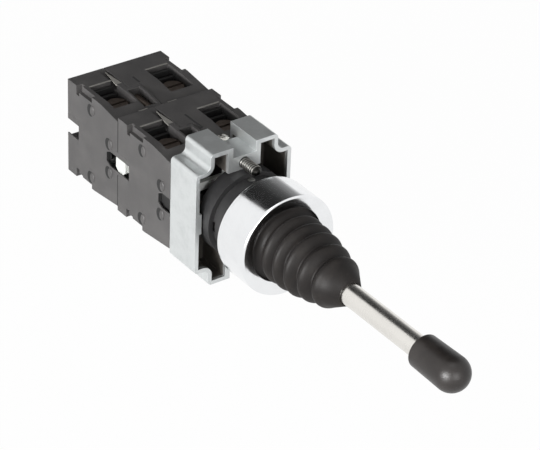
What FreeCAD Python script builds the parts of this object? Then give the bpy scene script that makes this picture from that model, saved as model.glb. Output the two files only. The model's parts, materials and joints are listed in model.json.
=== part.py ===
"""Panel joystick with a spring-return lever, a chromed bezel and four contact blocks.

The lever points to -Y, +Z is up and the origin is the centre of the panel hole, on the panel's front
face. All sizes are in millimetres and live in the sheet "Sizes", where a size that starts with = follows
from others.
"""
import math
import os
import re

import FreeCAD
import Part
import Sketcher

SIZES = {
    # bezel, gasket and head body
    "gasket_thickness": 1.5,
    "gasket_margin": 1.8,
    "gasket_diameter": "=neck_diameter + 2 * gasket_margin",
    "bezel_wall": 2.1,
    "bezel_diameter": "=bezel_bore + 2 * bezel_wall",
    "bezel_depth": 11.7,
    "bezel_cover": 1.7,
    "bezel_opening": "=bezel_bore - 2 * bezel_cover",
    "bezel_lip": 1.2,
    "bezel_round": 0.9,
    "bezel_dish": 0.7,
    "flange_margin": 1.3,
    "bezel_bore": "=neck_diameter + 2 * flange_margin",
    "head_flange_diameter": "=bezel_bore - 4 * fit_gap",
    "neck_wall": 2.5,
    "head_bore": "=neck_diameter - 2 * neck_wall",
    "mouth_length": 6.0,
    "mouth_flare": 1.4,
    "neck_diameter": 22.2,
    "neck_end": 5.8,
    "key_width": 3.0,
    "key_depth": 1.6,
    "fit_gap": 0.05,
    "slide_gap": 0.1,
    "overlap": 0.1,
    "overcut": 1.0,
    # bellows
    "bellows_wall": 0.9,
    "bellows_flange": 1.0,
    "bellows_front": 39.5,
    "bellows_tip_radius": 3.6,
    "bellows_sleeve": 2.5,
    "bellows_cone_radius": 6.5,
    "bellows_cone_place": 35.3,
    "fold_1_radius": 10.3,
    "fold_2_radius": 9.9,
    "fold_3_radius": 9.4,
    "fold_4_radius": 8.4,
    "fold_5_radius": 7.2,
    "fold_1_place": 15.8,
    "fold_2_place": 19.7,
    "fold_3_place": 24.0,
    "fold_4_place": 28.8,
    "fold_5_place": 33.6,
    "valley_depth": 1.5,
    # lever, tip cap and universal pivot
    "rod_diameter": 6.0,
    "cap_diameter": 9.8,
    "cap_length": 20.8,
    "cap_floor": 4.8,
    "cap_bevel": 0.6,
    "lever_reach": 84.9,
    "pivot_depth": 4.0,
    "hub_diameter": 9.2,
    "hub_front": 0.6,
    "hub_rear": 10.3,
    "hub_floor": 1.5,
    "hub_bevel": 0.6,
    "arm_reach": 7.8,
    "arm_width": 2.8,
    "arm_thickness": 1.4,
    "nub_radius": 1.1,
    "nub_stem": 0.9,
    "gimbal_margin": 1.0,
    "gimbal_outer": "=head_bore - 2 * gimbal_margin",
    "gimbal_wall": 2.2,
    "gimbal_inner": "=gimbal_outer - 2 * gimbal_wall",
    "gimbal_thickness": 4.0,
    "pin_diameter": 2.0,
    "running_gap": 0.04,
    "gate_thickness": 1.0,
    "gate_hole": 10.4,
    "gate_gap": 0.3,
    "tilt_limit": 15,
    "spring_wire": 0.8,
    "spring_radius": 4.4,
    "spring_turns": 3.5,
    "spring_flare": 0.9,
    "washer_thickness": 1.0,
    "spring_space": 4.2,
    # mounting collar and its clamp screws
    "collar_margin": 2.0,
    "collar_width": "=ring_diameter + 2 * collar_margin",
    "clamp_margin": 5.4,
    "collar_height": "=2 * (clamp_height + clamp_margin)",
    "collar_front": 7.3,
    "collar_depth": 11.8,
    "collar_wall": 1.2,
    "notch_width": 4.4,
    "notch_height": 4.9,
    "collar_round": 1.2,
    "notch_round": 1.7,
    "slot_width": 7.2,
    "bay_wall": 1.5,
    "boss_wall": 0.6,
    "lug_length": 2.4,
    "lug_height": 6.0,
    "ring_wall": 1.9,
    "ring_diameter": "=neck_diameter + 2 * ring_wall",
    "ring_length": 5.0,
    "ring_lap": 0.9,
    "ring_step": 0.4,
    "clamp_diameter": 3.2,
    "clamp_height": "=(ring_diameter + clamp_diameter) / 2",
    "clamp_head": 5.6,
    "clamp_head_length": 2.4,
    "clamp_tip": 1.0,
    "clamp_bevel": 0.9,
    "clamp_slot_depth": 1.1,
    "clamp_sink": 0.3,
    # contact blocks
    "block_gap": 0.2,
    "block_width": 15.0,
    "block_length": 25.2,
    "block_height": 28.7,
    "block_front_height": 26.2,
    "slope_length": 11.7,
    "slope_length_below": 8.4,
    "edge_strip": 4.4,
    "edge_recess": 7.8,
    "edge_recess_height": 1.7,
    "edge_recess_width": 1.1,
    "edge_slot": 1.4,
    "edge_slot_height": 2.8,
    "edge_slot_width": 1.8,
    "ear_width": 3.7,
    "ear_height": 5.9,
    "ear_length": 12.6,
    "window_depth": 5.5,
    "window_top": 3.3,
    "window_bottom": 3.7,
    "window_width": 5.6,
    "window_recess": 1.2,
    "dimple_diameter": 2.6,
    "dimple_depth": 0.6,
    "rivet_diameter": 1.6,
    "rivet_depth": 0.15,
    "dimple_rise": 1.6,
    "dimple_front": 4.2,
    "dimple_rear": 13.6,
    "dimple_above": 9.3,
    "dimple_below": 10.9,
    "well_inner": 5.5,
    "well_width": 7.2,
    "well_front": 5.4,
    "well_rear": 18.0,
    "well_floor": 8.6,
    "rib_thickness": 0.9,
    "rib_drop": 1.2,
    "rib_pitch": 1.9,
    "rib_rear": 17.6,
    "ramp_width": 2.2,
    "ramp_front": 15.5,
    "ramp_rear": 24.0,
    "ramp_depth": 2.6,
    "cavity_inner": 0.9,
    "cavity_outer": 4.9,
    "cavity_front": 2.6,
    "cavity_rear": 11.4,
    "cavity_floor": 9.2,
    "cover_thickness": 1.0,
    "cover_height": 15.8,
    "cover_front": 5.0,
    "cover_length": 13.9,
    "chamber_height": 13.2,
    "chamber_front": 6.0,
    "chamber_rear": 18.5,
    # what moves in a block
    "plunger_place": 8.4,
    "plunger_width": 4.2,
    "plunger_head": 1.7,
    "plunger_rear": 13.4,
    "plunger_nose": 1.8,
    "plunger_nose_length": 1.5,
    "bridge_room": 0.6,
    "return_radius": 1.55,
    "bridge_place": 9.4,
    "bridge_thickness": 0.7,
    "bridge_width": 2.6,
    "bridge_height": 12.4,
    "contact_gap": 2.1,
    "strip_thickness": 0.8,
    "strip_width": 3.4,
    "rod_place": 12.4,
    "rod_width": 2.0,
    "rod_height": 3.4,
    "pusher_thickness": 1.4,
    "pad_width": 4.8,
    "pad_length": 5.2,
    "bar_half": 1.2,
    "flag_length": 4.6,
    "flag_height": 5.0,
    "flag_bevel": 1.1,
    "flag_inset": 0.4,
    "touch_gap": 0.05,
    # terminals and fixing screws of a block
    "terminal_place": 9.1,
    "terminal_depth": 9.8,
    "terminal_head": 6.0,
    "terminal_head_height": 1.9,
    "terminal_shank": 3.0,
    "terminal_length": 3.0,
    "screw_slot": 0.8,
    "screw_slot_depth": 0.8,
    "clamp_plate": 6.6,
    "clamp_plate_thickness": 0.9,
    "fixing_place": 1.75,
    "fixing_height": 11.0,
    "fixing_diameter": 2.2,
    "fixing_head": 3.2,
    "fixing_head_length": 3.8,
    "fixing_sink": 0.8,
    "fixing_tip": 1.1,
    "fixing_lap": 1.2,
}

document = FreeCAD.newDocument("Joystick")
sheet = document.addObject("Spreadsheet::Sheet", "Sizes")
for row, (alias, size) in enumerate(SIZES.items(), start=1):
    sheet.set("A%d" % row, alias)
    sheet.setAlias("B%d" % row, alias)
for row, size in enumerate(SIZES.values(), start=1):
    sheet.set("B%d" % row, str(size))
document.recompute()

parts = []


def sized(text):
    """Return the expression with each size's name pointing at the sheet."""
    def point(word):
        return "Sizes." + word[0] if word[0] in SIZES else word[0]

    return re.sub(r"[a-z][a-z_0-9]*", point, str(text))


def number(text):
    """Return the value that an expression has now."""
    value = sheet.evalExpression(sized(text))
    return float(getattr(value, "Value", value))


def bind(thing, slot, text):
    """Tie one property of a feature to an expression on the sheet."""
    thing.setExpression(slot, sized(text))


def new_body(label):
    """Start a sub-part; its label names its file."""
    body = document.addObject("PartDesign::Body", label)
    body.Label = label
    parts.append(body)
    return body


def plane_of(body, role):
    """Return one of the body's own origin planes."""
    return next(plane for plane in body.Origin.OriginFeatures if plane.Role == role)


def arc_between(first, last, radius, turn):
    """Return a circle's arc from first to last; turn is +1 for anticlockwise and -1 for clockwise."""
    middle = (first + last) * 0.5
    chord = last - first
    rise = math.sqrt(max(radius ** 2 - (chord.Length / 2) ** 2, 0.0))
    side = FreeCAD.Vector(-chord.y, chord.x, 0).normalize() * turn
    centre = middle + side * rise
    start, end = (first, last) if turn > 0 else (last, first)
    start_angle = math.atan2(start.y - centre.y, start.x - centre.x)
    end_angle = math.atan2(end.y - centre.y, end.x - centre.x)
    if end_angle < start_angle:
        end_angle += 2 * math.pi
    return Part.ArcOfCircle(Part.Circle(centre, FreeCAD.Vector(0, 0, 1), radius), start_angle, end_angle)


def draw(body, role, outline, shift="0"):
    """Draw a closed outline on one of the body's planes, every corner tied to the sheet.

    A corner is (across, up), or (across, up, radius, turn) when an arc leads to it. The plane is moved
    by shift along its normal.
    """
    sketch = body.newObject("Sketcher::SketchObject", "Outline")
    sketch.AttachmentSupport = [(plane_of(body, role), "")]
    sketch.MapMode = "FlatFace"
    if shift != "0":
        bind(sketch, "AttachmentOffset.Base.z", shift)
    spots = [FreeCAD.Vector(number(corner[0]), number(corner[1]), 0) for corner in outline]
    ends = []
    for index, corner in enumerate(outline):
        before = spots[index - 1]
        here = spots[index]
        if len(corner) == 4:
            edge = sketch.addGeometry(arc_between(before, here, number(corner[2]), corner[3]))
            ends.append((edge, 1, 2) if corner[3] > 0 else (edge, 2, 1))
        else:
            ends.append((sketch.addGeometry(Part.LineSegment(before, here)), 1, 2))
    for index, (edge, first, last) in enumerate(ends):
        previous = ends[index - 1]
        sketch.addConstraint(Sketcher.Constraint("Coincident", previous[0], previous[2], edge, first))
    for (edge, first, last), corner, spot in zip(ends, outline, spots):
        across, up = corner[:2]
        for kind, axis, text, value in (("DistanceX", -2, across, spot.x), ("DistanceY", -1, up, spot.y)):
            if str(text) == "0":
                sketch.addConstraint(Sketcher.Constraint("PointOnObject", edge, last, axis))
            else:
                row = sketch.addConstraint(Sketcher.Constraint(kind, -1, 1, edge, last, value))
                bind(sketch, "Constraints[%d]" % row, text)
        if len(corner) == 4:
            row = sketch.addConstraint(Sketcher.Constraint("Radius", edge, number(corner[2])))
            bind(sketch, "Constraints[%d]" % row, corner[2])
    return sketch


def turn_solid(body, outline, cut=False):
    """Revolve an outline of (radius, y) about the lever's axis."""
    sketch = draw(body, "XY_Plane", outline)
    feature = body.newObject("PartDesign::Groove" if cut else "PartDesign::Revolution", "Turned")
    feature.Profile = sketch
    feature.ReferenceAxis = (sketch, ["V_Axis"])
    feature.Angle = 360
    return feature


def pad_solid(body, role, outline, start, end, cut=False):
    """Add or cut an extruded outline, from start to end in the part's own axes.

    A pad grows along its plane's normal and a pocket against it, and the normal of XZ points to -Y.
    """
    near = start if cut == (role == "XZ_Plane") else end
    sketch = draw(body, role, outline, "-(%s)" % near if role == "XZ_Plane" else near)
    feature = body.newObject("PartDesign::Pocket" if cut else "PartDesign::Pad", "Extruded")
    feature.Profile = sketch
    bind(feature, "Length", "(%s) - (%s)" % (end, start))
    return feature


def box(body, across, along, up, cut=True):
    """Add or cut a box given by its (low, high) ends in X, Y and Z."""
    feature = body.newObject("PartDesign::SubtractiveBox" if cut else "PartDesign::AdditiveBox", "Box")
    for side, axis, (low, high) in zip(("Length", "Width", "Height"), "xyz", (across, along, up)):
        bind(feature, side, "(%s) - (%s)" % (high, low))
        bind(feature, "Placement.Base.%s" % axis, low)
    return feature


TURNS = {
    "x": FreeCAD.Rotation(FreeCAD.Vector(0, 1, 0), 90),
    "y": FreeCAD.Rotation(FreeCAD.Vector(1, 0, 0), -90),
    "z": FreeCAD.Rotation(),
}


def rod(body, axis, centre, diameter, start, end, cut=True):
    """Add or cut a cylinder along an axis, through a centre given in the other two directions."""
    kind = "PartDesign::SubtractiveCylinder" if cut else "PartDesign::AdditiveCylinder"
    feature = body.newObject(kind, "Rod")
    bind(feature, "Radius", "(%s) / 2" % diameter)
    bind(feature, "Height", "(%s) - (%s)" % (end, start))
    feature.Placement = FreeCAD.Placement(FreeCAD.Vector(), TURNS[axis])
    others = [letter for letter in "xyz" if letter != axis]
    bind(feature, "Placement.Base.%s" % axis, start)
    for letter, place in zip(others, centre):
        bind(feature, "Placement.Base.%s" % letter, place)
    return feature


def ball(body, centre, radius):
    """Add a sphere."""
    feature = body.newObject("PartDesign::AdditiveSphere", "Ball")
    bind(feature, "Radius", radius)
    for letter, place in zip("xyz", centre):
        bind(feature, "Placement.Base.%s" % letter, place)
    return feature


def dress(body, kind, size, choose):
    """Round or bevel the edges that choose accepts."""
    document.recompute()
    base = body.Tip
    names = ["Edge%d" % (index + 1) for index, edge in enumerate(base.Shape.Edges) if choose(edge)]
    feature = body.newObject("PartDesign::" + kind, kind)
    feature.Base = (base, names)
    bind(feature, "Radius" if kind == "Fillet" else "Size", size)
    return feature


def mirrored(low, high):
    """Return the same stretch on the other side of zero."""
    return ("-(%s)" % high, "-(%s)" % low)


def same(low, high):
    """Return the stretch as it is."""
    return (low, high)


def build_bezel():
    """Chromed ring: a dished front face, a lip over the bellows and a bore for the head body."""
    body = new_body("bezel")
    front = "-(gasket_thickness + bezel_depth)"
    turn_solid(body, [
        ("bezel_bore / 2", "-gasket_thickness"),
        ("bezel_bore / 2", front + " + bezel_lip"),
        ("bezel_opening / 2", front + " + bezel_lip"),
        ("bezel_opening / 2", front + " + bezel_dish"),
        ("bezel_diameter / 2 - bezel_round", front),
        ("bezel_diameter / 2", front + " + bezel_round", "bezel_round", 1),
        ("bezel_diameter / 2", "-gasket_thickness"),
    ])


def build_gasket():
    """Flat rubber ring between the bezel and the panel."""
    body = new_body("gasket")
    turn_solid(body, [
        ("neck_diameter / 2 + fit_gap", "0"),
        ("neck_diameter / 2 + fit_gap", "-gasket_thickness"),
        ("gasket_diameter / 2", "-gasket_thickness"),
        ("gasket_diameter / 2", "0"),
    ])


def build_head_body():
    """Black body: a flange inside the bezel and the neck that goes through the panel."""
    body = new_body("head_body")
    front = "-(gasket_thickness + bezel_depth - bezel_lip - bellows_flange - 2 * fit_gap)"
    turn_solid(body, [
        ("head_bore / 2", "-mouth_length"),
        ("head_bore / 2 + mouth_flare", front),
        ("head_flange_diameter / 2", front),
        ("head_flange_diameter / 2", "-gasket_thickness"),
        ("neck_diameter / 2", "-gasket_thickness"),
        ("neck_diameter / 2", "neck_end"),
        ("head_bore / 2", "neck_end"),
    ])
    reach = "neck_diameter / 2 + overcut"
    rod(body, "z", ("0", "pivot_depth"), "pin_diameter + 2 * running_gap", "-(%s)" % reach, reach)
    for near, far in (("head_bore / 2 - overcut", reach), ("-(%s)" % reach, "overcut - head_bore / 2")):
        box(body, (near, far), ("neck_end - key_depth", "neck_end + overcut"),
            ("-key_width / 2", "key_width / 2"))


def build_gimbal():
    """Ring of the universal pivot, its two pins in the head body and the pin that carries the lever."""
    ring = new_body("gimbal_ring")
    turn_solid(ring, [
        ("gimbal_inner / 2", "pivot_depth - gimbal_thickness / 2"),
        ("gimbal_outer / 2", "pivot_depth - gimbal_thickness / 2"),
        ("gimbal_outer / 2", "pivot_depth + gimbal_thickness / 2"),
        ("gimbal_inner / 2", "pivot_depth + gimbal_thickness / 2"),
    ])
    bore = "pin_diameter + 2 * running_gap"
    rod(ring, "z", ("0", "pivot_depth"), bore, "-gimbal_outer", "gimbal_outer")
    rod(ring, "x", ("pivot_depth", "0"), bore, "-gimbal_outer", "gimbal_outer")
    pins = document.addObject("Part::Compound", "gimbal_pins")
    pins.Label = "gimbal_pins"
    inner = "gimbal_inner / 2 + slide_gap"
    outer = "neck_diameter / 2 - slide_gap"
    pair = []
    for place in (inner, "-(%s)" % outer):
        pin = document.addObject("Part::Cylinder", "Pin")
        bind(pin, "Radius", "pin_diameter / 2")
        bind(pin, "Height", "(%s) - (%s)" % (outer, inner))
        bind(pin, "Placement.Base.y", "pivot_depth")
        bind(pin, "Placement.Base.z", place)
        pair.append(pin)
    pins.Links = pair
    parts.append(pins)
    pin = new_body("lever_pin")
    end = "(gimbal_outer / 2 - 2 * slide_gap)"
    rod(pin, "x", ("pivot_depth", "0"), "pin_diameter", "-" + end, end, cut=False)


def build_gate():
    """Gate plate that limits the lever's tilt and carries the centring spring."""
    body = new_body("gate_plate")
    swing = "gimbal_outer / 2 * sin(tilt_limit * 1 deg)"
    rear = "pivot_depth - %s - gimbal_thickness / 2 - gate_gap" % swing
    turn_solid(body, [
        ("gate_hole / 2", "%s - gate_thickness" % rear),
        ("head_bore / 2 - fit_gap", "%s - gate_thickness" % rear),
        ("head_bore / 2 - fit_gap", rear),
        ("gate_hole / 2", rear),
    ])
    front = "%s - gate_thickness" % rear
    washer = new_body("spring_washer")
    behind = "%s - spring_space" % front
    turn_solid(washer, [
        ("rod_diameter / 2 + fit_gap", "%s - washer_thickness" % behind),
        ("spring_radius + spring_wire / 2", "%s - washer_thickness" % behind),
        ("spring_radius + spring_wire / 2", behind),
        ("rod_diameter / 2 + fit_gap", behind),
    ])
    build_spring("centring_spring", "spring_radius + spring_flare", "spring_radius", behind, front)


def build_spring(label, wide, narrow, start, end, across="0"):
    """Coil of square wire round an axis along Y, from start to end, as one swept solid."""
    turns = number("spring_turns")
    wire = number("spring_wire")
    middle = number(across)
    low = number(start) + wire / 2 + 0.02
    high = number(end) - wire / 2 - 0.02
    steps = int(turns * 8)
    rings = []
    for step in range(steps + 1):
        share = step / steps
        angle = 2 * math.pi * turns * share
        radius = number(narrow) + (number(wide) - number(narrow)) * share
        place = low + (high - low) * share
        corners = [(-0.5, -0.5), (0.5, -0.5), (0.5, 0.5), (-0.5, 0.5)]
        rings.append([FreeCAD.Vector(middle + (radius + a * wire) * math.cos(angle), place + b * wire * 0.8,
                                     (radius + a * wire) * math.sin(angle)) for a, b in corners])
    faces = []
    for first, second in zip(rings, rings[1:]):
        for corner in range(4):
            following = (corner + 1) % 4
            a, b = first[corner], first[following]
            c, d = second[following], second[corner]
            faces.append(Part.Face(Part.makePolygon([a, b, c, a])))
            faces.append(Part.Face(Part.makePolygon([a, c, d, a])))
    for ring in (rings[0], rings[-1]):
        faces.append(Part.Face(Part.makePolygon([ring[0], ring[1], ring[2], ring[0]])))
        faces.append(Part.Face(Part.makePolygon([ring[0], ring[2], ring[3], ring[0]])))
    solid = Part.Solid(Part.Shell(faces))
    if solid.Volume < 0:
        solid.reverse()
    coil = document.addObject("Part::Feature", label)
    coil.Label = label
    coil.Shape = solid
    coil.Placement = FreeCAD.Placement()
    parts.append(coil)
    return coil


def build_bellows():
    """Rubber bellows: a flange under the bezel's lip, five round folds, a cone and a sleeve."""
    body = new_body("bellows")
    seat = "-(gasket_thickness + bezel_depth - bezel_lip - fit_gap)"
    folds = [("fold_%d_radius" % step, "fold_%d_place" % step) for step in range(1, 6)]
    valleys = [("fold_1_radius - valley_depth / 2", "-(1.5 * fold_1_place - 0.5 * fold_2_place)")]
    for (radius, place), (next_radius, next_place) in zip(folds, folds[1:]):
        valleys.append(("(%s + %s) / 2 - valley_depth" % (radius, next_radius),
                        "-(%s + %s) / 2" % (place, next_place)))
    valleys.append(("bellows_cone_radius", "-bellows_cone_place"))
    outline = [
        ("head_bore / 2 + mouth_flare", "%s + bellows_flange" % seat),
        ("bezel_bore / 2 - fit_gap", "%s + bellows_flange" % seat),
        ("bezel_bore / 2 - fit_gap", seat),
        ("bezel_opening / 2 - 3 * slide_gap", seat),
        valleys[0],
    ]
    for (radius, place), here, there in zip(folds, valleys, valleys[1:]):
        chord = "sqrt(((%s) - (%s))^2 + ((%s) - (%s))^2)" % (here[0], there[0], here[1], there[1])
        rise = "(%s - ((%s) + (%s)) / 2)" % (radius, here[0], there[0])
        outline.append((there[0], there[1], "((%s)^2 / 4 + %s^2) / (2 * %s)" % (chord, rise, rise), -1))
    outline += [
        ("bellows_tip_radius", "-bellows_front"),
        ("rod_diameter / 2 + fit_gap", "-bellows_front"),
        ("rod_diameter / 2 + fit_gap", "-bellows_front + bellows_sleeve"),
    ]
    for radius, place in reversed(valleys):
        outline.append(("%s - bellows_wall" % radius, place))
    turn_solid(body, outline)


def build_lever():
    """Steel rod, rubber tip cap and the rocker, whose four arms carry the pins that press the pushers."""
    cap = new_body("tip_cap")
    turn_solid(cap, [
        ("0", "-lever_reach"),
        ("cap_diameter / 2", "cap_diameter / 2 - lever_reach", "cap_diameter / 2", 1),
        ("cap_diameter / 2", "cap_length - lever_reach - cap_bevel"),
        ("cap_diameter / 2 - cap_bevel", "cap_length - lever_reach"),
        ("rod_diameter / 2 + running_gap", "cap_length - lever_reach"),
        ("rod_diameter / 2 + running_gap", "cap_floor - lever_reach"),
        ("0", "cap_floor - lever_reach"),
    ])
    lever = new_body("lever_rod")
    foot = "hub_rear - hub_floor"
    rod(lever, "y", ("0", "0"), "rod_diameter", "cap_floor + fit_gap - lever_reach", foot + " - slide_gap",
        cut=False)
    bore = "pin_diameter + 2 * running_gap"
    rod(lever, "x", ("pivot_depth", "0"), bore, "-rod_diameter", "rod_diameter")
    rocker = new_body("rocker")
    turn_solid(rocker, [
        ("0", foot),
        ("rod_diameter / 2 + running_gap", foot),
        ("rod_diameter / 2 + running_gap", "hub_front"),
        ("hub_diameter / 2 - hub_bevel", "hub_front"),
        ("hub_diameter / 2", "hub_front + hub_bevel"),
        ("hub_diameter / 2", "hub_rear"),
        ("0", "hub_rear"),
    ])
    rod(rocker, "x", ("pivot_depth", "0"), bore, "-hub_diameter", "hub_diameter")
    depth = ("hub_rear - arm_thickness", "hub_rear")
    half = ("-arm_width / 2", "arm_width / 2")
    arm = ("hub_diameter / 2 - overcut", "arm_reach + arm_width / 2")
    for ends in (same, mirrored):
        box(rocker, ends(*arm), depth, half, cut=False)
        box(rocker, half, depth, ends(*arm), cut=False)
    pins = new_body("rocker_pins")
    for across, up in (("arm_reach", "0"), ("-arm_reach", "0"), ("0", "arm_reach"), ("0", "-arm_reach")):
        bore = "2 * (nub_radius + running_gap)"
        rod(rocker, "y", (across, up), bore, "hub_front", "hub_rear + overcut")
        rod(pins, "y", (across, up), "2 * nub_radius", "hub_rear - arm_thickness", "hub_rear + nub_stem",
            cut=False)
        ball(pins, (across, "hub_rear + nub_stem", up), "nub_radius")


def round_corners(corners):
    """Return an outline of axis-parallel edges in which every corner of (across, up, radius) is an arc."""
    spots = [(number(across), number(up)) for across, up, radius in corners]
    outline = []
    for index, (across, up, radius) in enumerate(corners):
        if radius == "0":
            outline.append((across, up))
            continue
        before, here, after = spots[index - 1], spots[index], spots[(index + 1) % len(spots)]
        way_in = [here[axis] - before[axis] for axis in (0, 1)]
        way_out = [after[axis] - here[axis] for axis in (0, 1)]
        turn = 1 if way_in[0] * way_out[1] - way_in[1] * way_out[0] > 0 else -1
        start = [moved(text, -way, radius) for text, way in zip((across, up), way_in)]
        end = [moved(text, way, radius) for text, way in zip((across, up), way_out)]
        outline += [tuple(start), (end[0], end[1], radius, turn)]
    return outline


def moved(text, way, step):
    """Return an expression moved by step towards way, or as it is when way is zero."""
    if abs(way) < 1e-9:
        return text
    return "%s %s %s" % (text, "+" if way > 0 else "-", step)


def cross_outline(wall, outer_round):
    """Return the collar's cross, inset by wall, with round notches and its outer corners rounded."""
    wide, tall = "(collar_width / 2 - %s)" % wall, "(collar_height / 2 - %s)" % wall
    waist = "(collar_width / 2 - notch_width - %s)" % wall
    shoulder = "(collar_height / 2 - notch_height - %s)" % wall
    quarter = [(wide, shoulder, outer_round), (waist, shoulder, "(notch_round + %s)" % wall),
               (waist, tall, outer_round)]
    corners = quarter + [("-" + across, up, radius) for across, up, radius in reversed(quarter)]
    corners += [("-" + across, "-" + up, radius) for across, up, radius in quarter]
    corners += [(across, "-" + up, radius) for across, up, radius in reversed(quarter)]
    return round_corners(corners)


def build_collar():
    """Die-cast mounting collar: a cross-shaped shell with a slotted bay and a screw boss at each end."""
    body = new_body("collar")
    wide, tall = "collar_width / 2", "collar_height / 2"
    rear = "collar_front + collar_depth"
    inside = "collar_front - overcut"
    floor = "%s - collar_wall" % rear
    behind = "%s + overcut" % rear
    pad_solid(body, "XZ_Plane", cross_outline("0", "collar_round"), "collar_front", rear)
    pad_solid(body, "XZ_Plane", cross_outline("collar_wall", "0"), "collar_front", floor, cut=True)
    half = "slot_width / 2"
    slot = ("-" + half, half)
    boss_low = "(ring_diameter / 2 - 3 * slide_gap)"
    boss_high = "(clamp_height + clamp_diameter / 2 + boss_wall)"
    head_front = "%s - clamp_head_length - 2 * clamp_sink" % rear
    boss = ("-(%s + bay_wall)" % half, half + " + bay_wall")
    for ends in (same, mirrored):
        box(body, boss, ("collar_front", floor + " + overlap"),
            ends(boss_low, tall + " - collar_wall + overlap"), cut=False)
        box(body, slot, (inside, behind), ends(boss_high, tall + " + overcut"))
        box(body, slot, (head_front, behind),
            ends("clamp_height - clamp_head / 2 - 2 * slide_gap", tall + " + overcut"))
        height = ends("clamp_height", "clamp_height")[0]
        rod(body, "y", ("0", height), "clamp_diameter + 2 * fit_gap", inside, rear)
        box(body, ends("ring_diameter / 2 + fit_gap", wide + " - collar_wall + overlap"),
            ("collar_front", "collar_front + lug_length"), ("-lug_height / 2", "lug_height / 2"), cut=False)
    inner = "plunger_place - plunger_width / 2 - 3 * slide_gap"
    outer = "rod_place + rod_width / 2 + 3 * slide_gap"
    half = "(pad_width / 2 + 2 * slide_gap)"
    for side in (same, mirrored):
        box(body, side(inner, outer), (floor + " - overcut", behind), ("-" + half, half))
    for across, up in (("-fixing_place", "fixing_height"), ("fixing_place", "-fixing_height")):
        rod(body, "y", (across, up), "fixing_diameter + 2 * fit_gap", floor + " - overcut", behind)
    ring = new_body("lock_ring")
    front = "neck_end - ring_lap"
    turn_solid(ring, [
        ("neck_diameter / 2 + fit_gap", front),
        ("ring_diameter / 2 - ring_step", front),
        ("ring_diameter / 2 - ring_step", front + " + ring_length"),
        ("neck_diameter / 2 + fit_gap", front + " + ring_length"),
    ])


def build_clamp_screw(label, side):
    """Screw that presses the panel against the gasket, with a bevelled tip and a slotted head."""
    body = new_body(label)
    height = side + "clamp_height"
    head = "collar_front + collar_depth - clamp_head_length - clamp_sink"
    rear = head + " + clamp_head_length"
    rod(body, "y", ("0", height), "clamp_diameter", "clamp_tip", head, cut=False)

    def at_tip(edge):
        return abs(edge.CenterOfMass.y - number("clamp_tip")) < 1e-6

    dress(body, "Chamfer", "clamp_bevel", at_tip)
    rod(body, "y", ("0", height), "clamp_head", head, rear, cut=False)
    box(body, ("-screw_slot / 2", "screw_slot / 2"), (rear + " - clamp_slot_depth", rear + " + overcut"),
        (height + " - clamp_head", height + " + clamp_head"))


def place_block(thing, layer, turned):
    """Put a piece of a block in its layer; the left blocks are the right ones turned half round."""
    turn = FreeCAD.Rotation(FreeCAD.Vector(0, 1, 0), 180 if turned else 0)
    thing.Placement = FreeCAD.Placement(FreeCAD.Vector(), turn)
    bind(thing, "Placement.Base.y", "collar_front + collar_depth + %d * block_length" % layer)


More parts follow.
